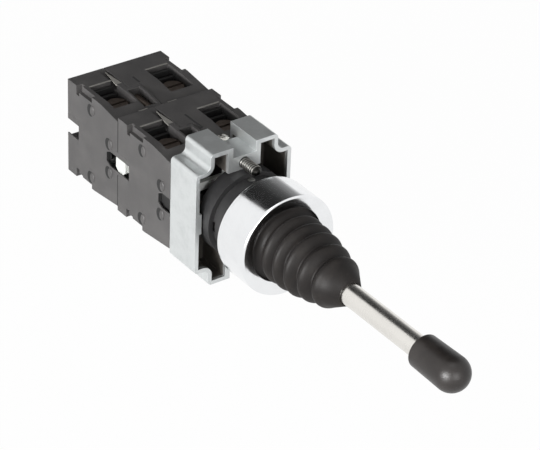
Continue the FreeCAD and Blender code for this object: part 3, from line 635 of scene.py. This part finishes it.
def turned(name: str, outline: np.ndarray, finish: Finish, closed: bool = True) -> bpy.types.Object:
    """Carry an outline round an axis along Y: (r cos a, y, r sin a) for each (r, y) and angle a.

    Args:
        name: the piece's name.
        outline: (radius, y) in millimetres.
        finish: its finish.
        closed: whether the outline is a loop; otherwise both its ends lie on the axis.

    Returns:
        The piece.
    """
    angle = np.linspace(0, 2 * np.pi, ROUND_STEPS, endpoint=False)
    radius, along = outline[:, 0][:, None], outline[:, 1][:, None]
    points = np.stack([radius * np.cos(angle), along + 0 * angle, radius * np.sin(angle)], -1)
    quads = grid_quads(len(outline), ROUND_STEPS, closed)
    return piece_from(name, points.reshape(-1, 3) * MM, quads, finish)


def softened(node: str, name: str, finish: Finish, width: float, steps: int = 2) -> bpy.types.Object:
    """Copy a CAD node as a piece whose sharp edges are rounded by width in millimetres.

    Args:
        node: the CAD node, which the copy replaces.
        name: the copy's name.
        finish: its finish.
        width: how far the rounding reaches, in millimetres.
        steps: faces across a rounded edge.

    Returns:
        The copy, riding on the node's body.
    """
    source = frame["nodes"][node]
    mesh = source.data.copy()
    mesh.name = name
    work = bmesh.new()
    work.from_mesh(mesh)
    bmesh.ops.remove_doubles(work, verts=work.verts, dist=JOIN)
    bmesh.ops.dissolve_limit(work, angle_limit=FLAT, verts=work.verts, edges=work.edges)
    work.to_mesh(mesh)
    work.free()
    mesh.shade_smooth()
    mesh.materials.clear()
    mesh.materials.append(material_of(finish))
    thing = placed(name, mesh)
    bevel = thing.modifiers.new("Rounding", "BEVEL")
    bevel.width = width * MM
    bevel.segments = steps
    bevel.limit_method = "ANGLE"
    bevel.angle_limit = SHARP
    level = thing.modifiers.new("Normals", "WEIGHTED_NORMAL")
    level.weight = 100
    level.keep_sharp = True
    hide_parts(node)
    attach(thing, source["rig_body"])
    return thing


def slot_mesh(height: float, rear: float) -> bpy.types.Mesh:
    """Return the box that cuts a driver slot into a screw head.

    Args:
        height: z of the screw in millimetres.
        rear: y of the head's face.

    Returns:
        The box's mesh.
    """
    half, depth, reach = 0.4, 1.1, 4.0
    ends = (-half, half), (rear - depth, rear + 1), (height - reach, height + reach)
    corners = np.array([[ends[axis][(index >> axis) & 1] for axis in range(3)] for index in range(8)]) * MM
    mesh = bpy.data.meshes.new("slot")
    mesh.from_pydata(corners.tolist(), [], [(0, 2, 3, 1), (4, 5, 7, 6), (0, 1, 5, 4),
                                            (2, 6, 7, 3), (0, 4, 6, 2), (1, 3, 7, 5)])
    return mesh


def apply_modifiers(thing: bpy.types.Object) -> None:
    """Turn a piece's modifiers into its mesh.

    Args:
        thing: the piece.
    """
    graph = bpy.context.evaluated_depsgraph_get()
    mesh = bpy.data.meshes.new_from_object(thing.evaluated_get(graph))
    mesh.name = thing.name
    thing.modifiers.clear()
    thing.data = mesh


def dress(node: str, finish: Finish) -> None:
    """Give a CAD node that stays its finish.

    Args:
        node: the node.
        finish: its finish.
    """
    mesh = frame["nodes"][node].data
    mesh.materials.clear()
    mesh.materials.append(material_of(finish))


# Sub-assemblies


@dataclass
class Bezel:
    """Chromed ring in front of the panel, with its gasket and the black body inside it. Millimetres."""

    radius: float = 14.5
    opening: float = 10.7
    bore: float = 12.4
    front: float = -13.2
    rear: float = -1.5
    lip: float = 1.2
    dish: float = 0.7
    dish_edge: float = 0.15
    crown: float = 0.17
    shoulder: float = 0.9
    rim: float = 1.1
    rim_step: float = 0.25
    rim_edges: tuple[float, float, float] = (0.1, 0.05, 0.25)

    def build(self) -> None:
        """Turn the ring and dress what it holds."""
        lip, rim, inset = self.front + self.lip, self.rear - self.rim, self.radius - self.rim_step
        outline = rounded([
            (self.bore, self.rear), (self.bore, lip), (self.opening, lip),
            (self.opening, self.front + self.dish, self.dish_edge),
            (self.radius, self.front - self.crown, self.shoulder), (self.radius, rim, self.rim_edges[0]),
            (inset, rim, self.rim_edges[1]), (inset, self.rear, self.rim_edges[2]),
        ], steps=12)
        ring = turned("bezel_ring", outline, Finish.CHROME)
        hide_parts("bezel")
        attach(ring, "root")
        dress("gasket", Finish.SEAL)
        for node in ("head_body", "gate_plate", "lock_ring"):
            dress(node, Finish.NECK)
        log.info("bezel: ring, gasket, neck")


@dataclass
class Bellows:
    """Rubber bellows between the bezel's lip and the lever. Millimetres.

    Each fold is a bulge between two creases: from the line that joins them it rises by
    h sin(pi t)^p, where t runs from 0 to 1 between the creases.
    """

    seat: float = -11.95
    flange: float = 12.3
    flange_thickness: float = 0.95
    mouth: float = 10.0
    root: tuple[tuple[float, float], ...] = ((9.6, 0.0), (8.6, -0.5))
    wall: float = 0.9
    creases: tuple[tuple[float, float], ...] = (
        (7.9, -13.7), (7.9, -17.75), (7.5, -21.85), (6.8, -26.4), (5.8, -31.2), (6.2, -35.3))
    folds: tuple[float, ...] = (9.9, 9.7, 9.25, 8.3, 7.2)
    nose: tuple[float, float] = (3.6, -39.45)
    sleeve: float = 2.5
    skirt: tuple[tuple[float, float], ...] = ((-0.25, -0.2), (-0.25, -1.2), (-0.75, -1.2))
    sharpness: float = 1.15
    hole: float = 3.06
    steps: int = 18

    def outer(self, first: int, last: int) -> np.ndarray:
        """Return the outer line of some folds.

        Args:
            first: number of the first one.
            last: number of the first one that isn't wanted.

        Returns:
            (radius, y) of its points, one row each.
        """
        t = np.linspace(0, 1, self.steps + 1)
        bulge = np.sin(np.pi * t).clip(0, 1) ** self.sharpness
        found = []
        for index in range(first, last):
            (r0, y0), (r1, y1) = self.creases[index], self.creases[index + 1]
            middle = (r0 + r1) / 2
            radius = r0 + (r1 - r0) * t + (self.folds[index] - middle) * bulge
            found.append(np.stack([radius, y0 + (y1 - y0) * t], -1)[:-1 if index < last - 1 else None])
        return np.concatenate(found)

    def build(self) -> None:
        """Build the bellows in two lengths.

        The rear length holds the fold next to the bezel, and the front length the other four.
        """
        near = self.outer(0, 1)
        inner = near[::-1] - [self.wall, 0]
        skirt = np.array(self.skirt) + self.creases[1]
        ledge = self.seat + self.flange_thickness
        base = np.array([[self.mouth, ledge], [self.flange, ledge], [self.flange, self.seat]])
        root = np.array(self.root) + [0, self.seat]
        rear = turned("bellows_rear", np.concatenate([base, root, near, skirt, inner]), Finish.BELLOWS)
        far = self.outer(1, len(self.folds))
        tip = np.array([self.nose, [self.hole, self.nose[1]], [self.hole, self.nose[1] + self.sleeve]])
        back = far[::-1][self.steps // 2:] - [self.wall, 0]
        fore = turned("bellows_front", np.concatenate([far, tip, back]), Finish.BELLOWS)
        for piece in (rear, fore):
            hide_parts("bellows")
        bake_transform(rear)
        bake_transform(fore)
        log.info("bellows: two lengths, five folds")


@dataclass
class Lever:
    """Steel rod, rubber cap and what turns with them. Millimetres."""

    radius: float = 3.0
    rod_front: float = -80.05
    rod_rear: float = 8.7
    cap_radius: float = 4.9
    cap_front: float = -84.9
    cap_length: float = 16.1
    cap_rear: float = 4.65
    cap_floor: float = 4.85
    cap_gap: float = 0.05
    cap_band: float = 0.9
    cap_edges: tuple[float, float, float] = (0.3, 0.5, 0.2)
    rod_edges: tuple[float, float] = (0.5, 0.3)
    nose_steps: int = 24

    def build(self) -> None:
        """Turn the rod and the cap, and dress the pivot."""
        rod = rounded([(0, self.rod_front), (self.radius, self.rod_front, self.rod_edges[0]),
                       (self.radius, self.rod_rear, self.rod_edges[1]), (0, self.rod_rear)], closed=False)
        bar = turned("lever_bar", rod, Finish.STEEL, closed=False)
        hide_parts("lever_rod")
        angle = np.linspace(0, np.pi / 2, self.nose_steps + 1)
        nose = np.stack([self.cap_radius * np.sin(angle),
                         self.cap_front + self.cap_radius * (1 - np.cos(angle))], -1)
        rear, floor = self.cap_front + self.cap_length, self.cap_front + self.cap_floor
        bore = self.radius + self.cap_gap
        skin = rounded([tuple(nose[-1]), (self.cap_rear, rear - self.cap_band, self.cap_edges[0]),
                        (self.cap_rear, rear, self.cap_edges[1]), (bore, rear, self.cap_edges[2]),
                        (bore, floor), (0, floor)], closed=False)
        cap = turned("lever_cap", np.concatenate([nose, skin]), Finish.CAP, closed=False)
        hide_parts("tip_cap")
        for piece in (bar, cap):
            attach(piece, "lever")
        dress("rocker", Finish.NECK)
        for node in ("lever_pin", "rocker_pins", "gimbal_pins", "gimbal_ring", "spring_washer"):
            dress(node, Finish.SCREW)
        dress("centring_spring", Finish.SPRING)
        log.info("lever: bar, cap, pivot")


@dataclass
class Collar:
    """Die-cast mounting collar with two clamp screws. Millimetres."""

    rounding: float = 0.35
    screw_height: float = 14.6
    shank: float = 1.6
    tip: float = 1.0
    tip_bevel: float = 0.9
    head_start: float = 16.4
    head_radius: float = 2.8
    head_length: float = 2.4
    pitch: float = 0.8
    thread: float = 0.38
    sharpness: float = 0.8
    rows: int = 220
    head_edge: float = 0.3

    def screw(self, name: str, node: str, height: float) -> None:
        """Build one clamp screw.

        Its shank is r = shank - thread * w((y - tip) / pitch - a / 2 pi)^sharpness, where w runs from 0
        at a crest to 1 at a root, and the thread fades out in the bevelled tip.

        Args:
            name: the piece's name.
            node: the CAD node that it replaces.
            height: z of its axis.
        """
        rows = np.linspace(self.tip, self.head_start, self.rows)[:, None]
        angle = np.linspace(0, 2 * np.pi, SCREW_STEPS, endpoint=False)[None]
        phase = ((rows - self.tip) / self.pitch - angle / (2 * np.pi)) % 1
        wave = (1 - np.abs(2 * phase - 1)) ** self.sharpness
        bevel = np.clip(1 - (rows - self.tip) / self.tip_bevel, 0, 1)
        radius = self.shank - self.tip_bevel * bevel - self.thread * wave * (1 - bevel)
        body = np.stack([radius * np.cos(angle), rows + 0 * angle, radius * np.sin(angle)], -1)
        face, edge = self.head_start + self.head_length, self.head_edge
        head = [(self.head_radius, self.head_start), (self.head_radius, face - edge),
                (self.head_radius - edge, face), (0.0, face)]
        rings = []
        for reach, y in [(0.0, self.tip), *head]:
            rings.append(np.stack([reach * np.cos(angle[0]), np.full(SCREW_STEPS, y),
                                   reach * np.sin(angle[0])], -1))
        points = np.concatenate([rings[0][None], body, np.stack(rings[1:])]) + [0, 0, height]
        quads = grid_quads(len(points), SCREW_STEPS, False)
        screw = piece_from(name, points.reshape(-1, 3) * MM, quads, Finish.THREAD)
        cut = placed(name + "_slot", slot_mesh(height, face))
        slot = screw.modifiers.new("Slot", "BOOLEAN")
        slot.object = cut
        slot.operation = "DIFFERENCE"
        apply_modifiers(screw)
        bpy.data.objects.remove(cut)
        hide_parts(node)
        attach(screw, "root")

    def build(self) -> None:
        """Round the casting and build the screws."""
        shell = softened("collar", "collar_casting", Finish.ZINC, self.rounding, 3)
        self.screw("clamp_screw_upper", "clamp_screw_top", self.screw_height)
        self.screw("clamp_screw_lower", "clamp_screw_bottom", -self.screw_height)
        log.info("collar: casting, two screws")


class Relief:
    """Small raised and sunk details of one moulding, gathered in one piece. Millimetres."""

    def __init__(self, turned_round: bool, start: float) -> None:
        """Start with no details.

        Args:
            turned_round: whether the moulding is the left one, which is turned half round.
            start: y of its front face.
        """
        self.sign = -1.0 if turned_round else 1.0
        self.start = start
        self.mesh = bmesh.new()

    def spot(self, x: float, y: float, z: float) -> bmesh.types.BMVert:
        """Add a corner, given from the middle of the block's front face with the outer side at +x."""
        return self.mesh.verts.new((self.sign * x * MM, (self.start + y) * MM, self.sign * z * MM))

    def slab(self, outline: Sequence[Sequence[float]], step: Sequence[float]) -> None:
        """Add a flat slab.

        Args:
            outline: its corners in one plane.
            step: how far its other face lies.
        """
        near = [self.spot(*corner) for corner in outline]
        far = [self.spot(*(c + d for c, d in zip(corner, step))) for corner in outline]
        self.mesh.faces.new(near)
        self.mesh.faces.new(far[::-1])
        for index in range(len(near)):
            self.mesh.faces.new((near[index - 1], near[index], far[index], far[index - 1]))

    def box(self, *spans: Sequence[float]) -> None:
        """Add a box from its lowest and highest x, y and z."""
        (x0, x1), (y0, y1), (z0, z1) = spans
        self.slab([(x0, y0, z0), (x0, y1, z0), (x0, y1, z1), (x0, y0, z1)], (x1 - x0, 0, 0))

    def stud(self, x: float, y: float, z: float, half: tuple[float, float],
             profile: Sequence[tuple[float, float]], steps: int = 28) -> None:
        """Add a round stud that grows along +x.

        Args:
            x: the face that it stands on.
            y: y of its middle.
            z: z of its middle.
            half: its half width along y and along z.
            profile: (share of the half width, height) from its foot to its top.
            steps: corners round it.
        """
        turn = [2 * math.pi * index / steps for index in range(steps)]
        rings = []
        for share, height in profile:
            rings.append([self.spot(x + height, y + half[0] * share * math.cos(angle),
                                    z + half[1] * share * math.sin(angle)) for angle in turn])
        for low, high in zip(rings, rings[1:]):
            for index in range(steps):
                self.mesh.faces.new((low[index - 1], low[index], high[index], high[index - 1]))
        self.mesh.faces.new(rings[0][::-1])
        self.mesh.faces.new(rings[-1])

    def piece(self, name: str, node: str, finish: Finish) -> bpy.types.Object:
        """Close the meshes as one piece.

        Args:
            name: the piece's name.
            node: the CAD node that it helps to stand for.
            finish: its finish.

        Returns:
            The piece, riding on the root.
        """
        bmesh.ops.recalc_face_normals(self.mesh, faces=self.mesh.faces)
        data = bpy.data.meshes.new(name)
        self.mesh.to_mesh(data)
        self.mesh.free()
        data.materials.append(material_of(finish))
        piece = placed(name, data)
        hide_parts(node)
        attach(piece, "root")
        return piece


@dataclass
class ContactBlocks:
    """Four contact blocks and the pushers between them and the lever. Millimetres, in a block's own frame."""

    rounding: float = 0.28
    fronts: tuple[float, float] = (19.1, 44.3)
    side: float = 15.1
    high: float = 14.35
    front_high: float = 13.1
    length: float = 25.2
    slopes: tuple[float, float] = (11.7, 8.4)
    window: tuple[float, float] = (-3.7, 3.3)
    window_depth: float = 5.5
    recess: float = 1.2
    sill: float = 0.34
    sill_proud: float = 0.004
    opening: tuple[float, float] = (-2.1, 2.4)
    chamfer: float = 0.9
    dimples: tuple[tuple[float, float], ...] = ((13.6, 9.3), (4.2, 4.9), (4.2, -5.3), (13.6, -10.9))
    dimple_radius: float = 1.32
    dimple_depth: float = 0.6
    dimple_proud: float = 0.005
    studs: tuple[tuple[float, float], ...] = ((13.0, 10.8), (4.0, 4.7), (4.0, -4.1), (13.0, -10.2))
    stud_half: tuple[float, float] = (1.0, 1.6)
    stud_move: tuple[float, float] = (-0.35, -0.1)
    stud_dome: tuple[tuple[float, float], ...] = ((1, 0), (0.95, 0.22), (0.8, 0.36), (0.5, 0.47), (0.2, 0.5))
    # painted shadow beside each stud: its half size, offset, foot and height
    shadow_half: tuple[float, float] = (1.5, 1.85)
    shadow_move: tuple[float, float] = (0.7, 0.15)
    shadow_sunk: float = 0.05
    shadow_height: float = 0.08
    seam: float = 0.16
    sunk: float = 0.1
    line_proud: float = 0.015
    # places of painted highlights: a lit wedge, the lit rear edge of each well and lit ramps
    wedge: tuple[tuple[float, float], ...] = ((4.4, 23.0), (3.8, 14.6), (5.8, 15.4))
    wedge_sink: float = 0.05
    wedge_height: float = 0.3
    well: tuple[float, float] = (5.6, 12.6)
    well_edge: tuple[float, float] = (17.9, 18.5)
    well_edge_height: float = 0.03
    ramps: tuple[tuple[float, float], ...] = ((1.6, 4.4), (4.4, 7.2))
    ramp_length: tuple[float, float] = (0.1, 1.8)
    ramp_slant: float = 0.3
    ramp_height: float = 0.04
    slits: tuple[tuple[float, float, float], ...] = ((9.4, 17.4, 0.75), (13.3, 16.8, 0.15))
    slit_width: float = 0.6
    slit_depth: float = 0.2
    sheet: float = 0.02
    sheet_gap: float = 0.03
    floor_sheet: float = 0.05

    def face_details(self, name: str, layer: int, turned_round: bool) -> None:
        """Fill the dimples flush, raise the studs, narrow the windows as the photograph shows them, and paint
        shadows beside the studs and in the front blocks' seam.

        Args:
            name: the start of the block's names.
            layer: 0 in front, 1 behind.
            turned_round: whether the block is the left one, which is the right one turned half round.
        """
        relief = Relief(turned_round, self.fronts[layer])
        half = (self.dimple_radius, self.dimple_radius)
        plug = ((1, 0), (1, self.dimple_depth + self.dimple_proud))
        for y, z in self.dimples:
            relief.stud(self.side - self.dimple_depth, y, z, half, plug)
        for y, z in self.studs:
            relief.stud(self.side - self.sunk, y + self.stud_move[0], z + self.stud_move[1],
                        self.stud_half, self.stud_dome)
        low, high = self.window
        near, far = self.opening
        inner, step = self.side - self.sill, (self.sill + self.sill_proud, 0, 0)
        depth = self.window_depth
        for start, end, slope in ((0.0, depth, self.chamfer), (self.length - depth, self.length, 0.0)):
            for edge, limit, way in ((near, low, 1), (far, high, -1)):
                relief.slab([(inner, start, edge), (inner, end - slope * 2, edge),
                             (inner, end, edge + way * slope), (inner, end, limit),
                             (inner, start, limit)], step)
        relief.piece(name + "relief", name + "housing", Finish.BLOCK)
        # painted shadows: a dark disc behind each stud whose rim shows as its shadow, and in the front blocks
        # dark lines in the seam gap
        painted_shadows = Relief(turned_round, self.fronts[layer])
        for y, z in self.studs:
            painted_shadows.stud(self.side - self.shadow_sunk, y + self.shadow_move[0], z + self.shadow_move[1],
                         self.shadow_half, ((1, 0), (1, self.shadow_height)))
        if layer == 0:
            seam = (self.length - self.seam, self.length + self.seam)
            for span in ((-self.front_high, low), (high, self.front_high)):
                painted_shadows.box((self.side - self.sunk, self.side + self.line_proud), seam, span)
        painted_shadows.piece(name + "painted_shadows", name + "housing", Finish.SHADE)

    def top_details(self, name: str, layer: int, turned_round: bool) -> None:
        """Add painted highlights on lit faces and edges of the upper face, and its slit as painted shade.

        Args:
            name: the start of the block's names.
            layer: 0 in front, 1 behind.
            turned_round: whether the block is the left one, which is the right one turned half round.
        """
        z = -self.high if turned_round else self.high
        way = -1.0 if turned_round else 1.0
        # painted highlights: the lit wedge of the left blocks, the lit rear edge of each well and, in the
        # rear blocks, a lit ramp
        highlights = Relief(turned_round, self.fronts[layer])
        if turned_round:
            highlights.slab([(x, y, z + self.wedge_sink) for x, y in self.wedge], (0, 0, self.wedge_height))
        highlights.box(self.well, self.well_edge, (z, z + way * self.well_edge_height))
        if layer:
            left, right = self.ramps[turned_round]
            rise, slant = (self.high - self.front_high) / self.slopes[turned_round], self.ramp_slant
            (start, low), (end, high) = ((y, way * (self.front_high + rise * y)) for y in self.ramp_length)
            highlights.slab([(left, start, low), (right, start, low), (right + slant, end, high),
                       (left + slant, end, high)], (0, 0, way * self.ramp_height))
        highlights.piece(name + "painted_highlights", name + "housing", Finish.HIGHLIGHT)
        # painted shade: a dark sheet stands for the slit in the upper face
        if not turned_round:
            slit = Relief(turned_round, self.fronts[layer])
            start, end, x = self.slits[layer]
            slit.box((x, x + self.slit_width), (start, end), (z - self.slit_depth, z + self.line_proud))
            slit.piece(name + "slit", name + "housing", Finish.SHADE)

    def window_shade(self, name: str, layer: int, turned_round: bool) -> None:
        """Darken the side window's rear wall and, in the front blocks, the floor of its recess.

        Args:
            name: the start of the block's names.
            layer: 0 in front, 1 behind.
            turned_round: whether the block is the left one, which is the right one turned half round.
        """
        sheet = Relief(turned_round, self.fronts[layer])
        inner, wall = self.side - self.recess, self.window_depth - self.sheet_gap
        sheet.box((inner, self.side - self.sheet), (wall, wall + self.sheet), self.window)
        if layer == 0:
            sheet.box((inner, inner + self.floor_sheet), (self.sheet, wall - self.sheet), self.window)
        sheet.piece(name + "window_shade", name + "housing", Finish.SHADE)

    def build(self) -> None:
        """Round the housings and dress what they hold."""
        held = {"cover": Finish.BLOCK, "plunger": Finish.GREEN, "contact_bridge": Finish.BRASS,
                "contact_strips": Finish.BRASS, "terminal_screws": Finish.TERMINAL,
                "wire_clamps": Finish.COPPER, "fixing_screw": Finish.TERMINAL,
                "return_spring": Finish.SPRING}
        for layer, layer_name in enumerate(("front", "rear")):
            for side in ("right", "left"):
                name = f"{layer_name}_{side}_"
                for add_details in (self.face_details, self.top_details, self.window_shade):
                    add_details(name, layer, side == "left")
                shell = softened(name + "housing", name + "moulding", Finish.BLOCK, self.rounding)
                for part, finish in held.items():
                    dress(name + part, finish)
        for node in ("pusher_right", "pusher_left", "push_rod_down", "push_rod_up"):
            dress(node, Finish.WHITE)
        log.info("contact blocks: four housings with their contacts, four pushers")


@dataclass
class Studio:
    """Pale floor, soft lamps and the camera of the photograph. Metres.

    The floor lies just below the lowest place that the tilted lever's tip reaches.
    """

    floor_level: float = -0.0275
    floor_half: float = 4.0
    floor_white: float = 0.98
    surroundings: float = 0.09
    square: tuple[tuple[float, float], ...] = ((-1, -1), (1, -1), (1, 1), (-1, 1))
    target: tuple[float, float, float] = (0.00094, -0.00357, 0.00089)
    distance: float = 0.6974
    azimuth: float = -36.643
    elevation: float = 32.164
    roll: float = 2.294
    lens: float = 179.64

    def camera(self) -> None:
        """Place the camera where the photograph was taken from."""
        azimuth, elevation, roll = map(math.radians, (self.azimuth, self.elevation, self.roll))
        level = math.cos(elevation)
        back = np.array([math.sin(azimuth) * level, -math.cos(azimuth) * level, math.sin(elevation)])
        right = np.array([math.cos(azimuth), math.sin(azimuth), 0.0])
        up = np.cross(back, right)
        across, down = math.cos(roll), math.sin(roll)
        turn = np.array([[across, down, 0], [-down, across, 0], [0, 0, 1]])
        axes = turn @ np.array([right, up, back])
        data = bpy.data.cameras.new("camera")
        data.sensor_width = 36.0
        data.lens = self.lens
        data.clip_start, data.clip_end = 0.01, 20.0
        view = placed("camera", data)
        view.matrix_world = matrix_of(axes, np.array(self.target) + self.distance * back)
        bpy.context.scene.camera = view

    def lamp(self, name: str, place: Sequence[float], size: float, power: float,
             colour: tuple[float, float, float] = (1, 1, 1)) -> None:
        """Add one square soft lamp that faces the object.

        Args:
            name: its name.
            place: where it hangs.
            size: its side.
            power: its power in watts.
            colour: its colour.
        """
        data = bpy.data.lights.new(name, "AREA")
        data.size = size
        data.energy = power
        data.color = colour
        back = np.array(place) - np.array(self.target)
        back = back / np.linalg.norm(back)
        right = np.cross([0, 0, 1], back)
        right = right / np.linalg.norm(right)
        axes = np.array([right, np.cross(back, right), back])
        placed(name, data).matrix_world = matrix_of(axes, np.array(place))

    def sheet(self, name: str, corners: list[tuple[float, ...]], board: Board) -> bpy.types.Object:
        """Add a sheet of the studio.

        Args:
            name: its name.
            corners: its four corners.
            board: its material's board.

        Returns:
            The sheet.
        """
        mesh = bpy.data.meshes.new(name)
        mesh.from_pydata(corners, [], [(0, 1, 2, 3)])
        mesh.materials.append(board.owner)
        return placed(name, mesh)

    def card(self, name: str, place: Sequence[float], width: float, length: float,
             greys: Sequence[tuple[float, float]]) -> None:
        """Hang a card that faces the object and that polished metal mirrors.

        Args:
            name: its name.
            place: its middle.
            width: its width.
            length: its length.
            greys: (x, grey from 0 to 1), from its left to its right.
        """
        board = Board(name)
        first, last = greys[0][0], greys[-1][0]
        stops = [((x - first) / (last - first), (grey, grey, grey)) for x, grey in greys]
        share = (board.axes()[0] - first) / (last - first)
        colour = board.add("ShaderNodeValToRGB", {"stops": stops}, {"Fac": share})
        board.close(board.add("ShaderNodeEmission", inputs={"Color": colour, "Strength": 1.0}))
        back = np.array(self.target) - np.array(place)
        back = back / np.linalg.norm(back)
        right = np.cross([0, 1, 0.001], back)
        right = right / np.linalg.norm(right)
        up = np.cross(back, right)
        corners = [np.array(place) + right * width / 2 * x + up * length / 2 * y for x, y in self.square]
        card = self.sheet(name, [tuple(corner) for corner in corners], board)
        card.visible_camera = False
        card.visible_diffuse = False
        card.visible_shadow = False

    def floor(self) -> None:
        """Lay the floor: plain white to the camera, and with the object's shadow."""
        board = Board("floor_white")
        ray = board.add("ShaderNodeLightPath", output="Is Camera Ray")
        gloss = board.add("ShaderNodeLightPath", output="Is Glossy Ray")
        glow = board.add("ShaderNodeEmission", inputs={"Color": (1, 1, 1, 1), "Strength": 1.0})
        matt = board.add("ShaderNodeBsdfDiffuse", inputs={"Color": (0.9, 0.9, 0.9, 1)})
        share = (ray + gloss).step(0.0, 1.0) * self.floor_white
        board.close(board.add("ShaderNodeMixShader", inputs={0: share, 1: matt, 2: glow}))
        half = self.floor_half
        floor = self.sheet("floor", [(half * x, half * y, self.floor_level) for x, y in self.square], board)

    def world(self) -> None:
        """Make the surroundings white to the camera and in mirrors, and a dim light for all else."""
        world = bpy.data.worlds.new("surroundings")
        bpy.context.scene.world = world
        board = Board(world.name, world)
        ray = board.add("ShaderNodeLightPath", output="Is Camera Ray")
        gloss = board.add("ShaderNodeLightPath", output="Is Glossy Ray")
        white = (1, 1, 1, 1)
        dim = board.add("ShaderNodeBackground", inputs={"Color": white, "Strength": self.surroundings})
        bright = board.add("ShaderNodeBackground", inputs={"Color": white, "Strength": 1.0})
        mixed = board.add("ShaderNodeMixShader", inputs={0: ray + gloss, 1: dim, 2: bright})
        board.close(mixed, "ShaderNodeOutputWorld")

    def build(self) -> None:
        """Set up the whole studio."""
        self.camera()
        self.world()
        self.floor()
        self.lamp("key", (-1.0, -0.35, 0.12), 0.6, 24.0)
        self.lamp("front", (-0.25, -1.1, 0.25), 0.6, 5.0)
        self.lamp("top", (-0.1, -0.2, 1.1), 0.5, 0.9)
        self.card("ceiling_card", (0.38, 0.45, 0.75), 1.3, 1.4,
                  ((-0.2, 0.012), (0.25, 0.03), (0.5, 0.1), (0.75, 0.3), (0.97, 0.95)))
        log.info("studio: camera, floor, three lamps, one card")


def matrix_of(axes: np.ndarray, place: np.ndarray) -> Matrix:
    """Return the matrix of an object.

    Args:
        axes: its three axes, one row each.
        place: its place.

    Returns:
        The matrix, with the axes and the place as columns.
    """
    grid = np.eye(4)
    grid[:3, :3] = axes.T
    grid[:3, 3] = place
    return Matrix(grid.tolist())


def main() -> None:
    """Build the studio and every sub-assembly."""
    logging.basicConfig(level=logging.INFO, format="%(name)s: %(message)s")
    bpy.context.scene.view_settings.view_transform = "Standard"
    Studio().build()
    for part in (Bezel(), Bellows(), Lever(), Collar(), ContactBlocks()):
        part.build()
    bpy.context.view_layer.update()


if __name__ == "__main__":
    main()
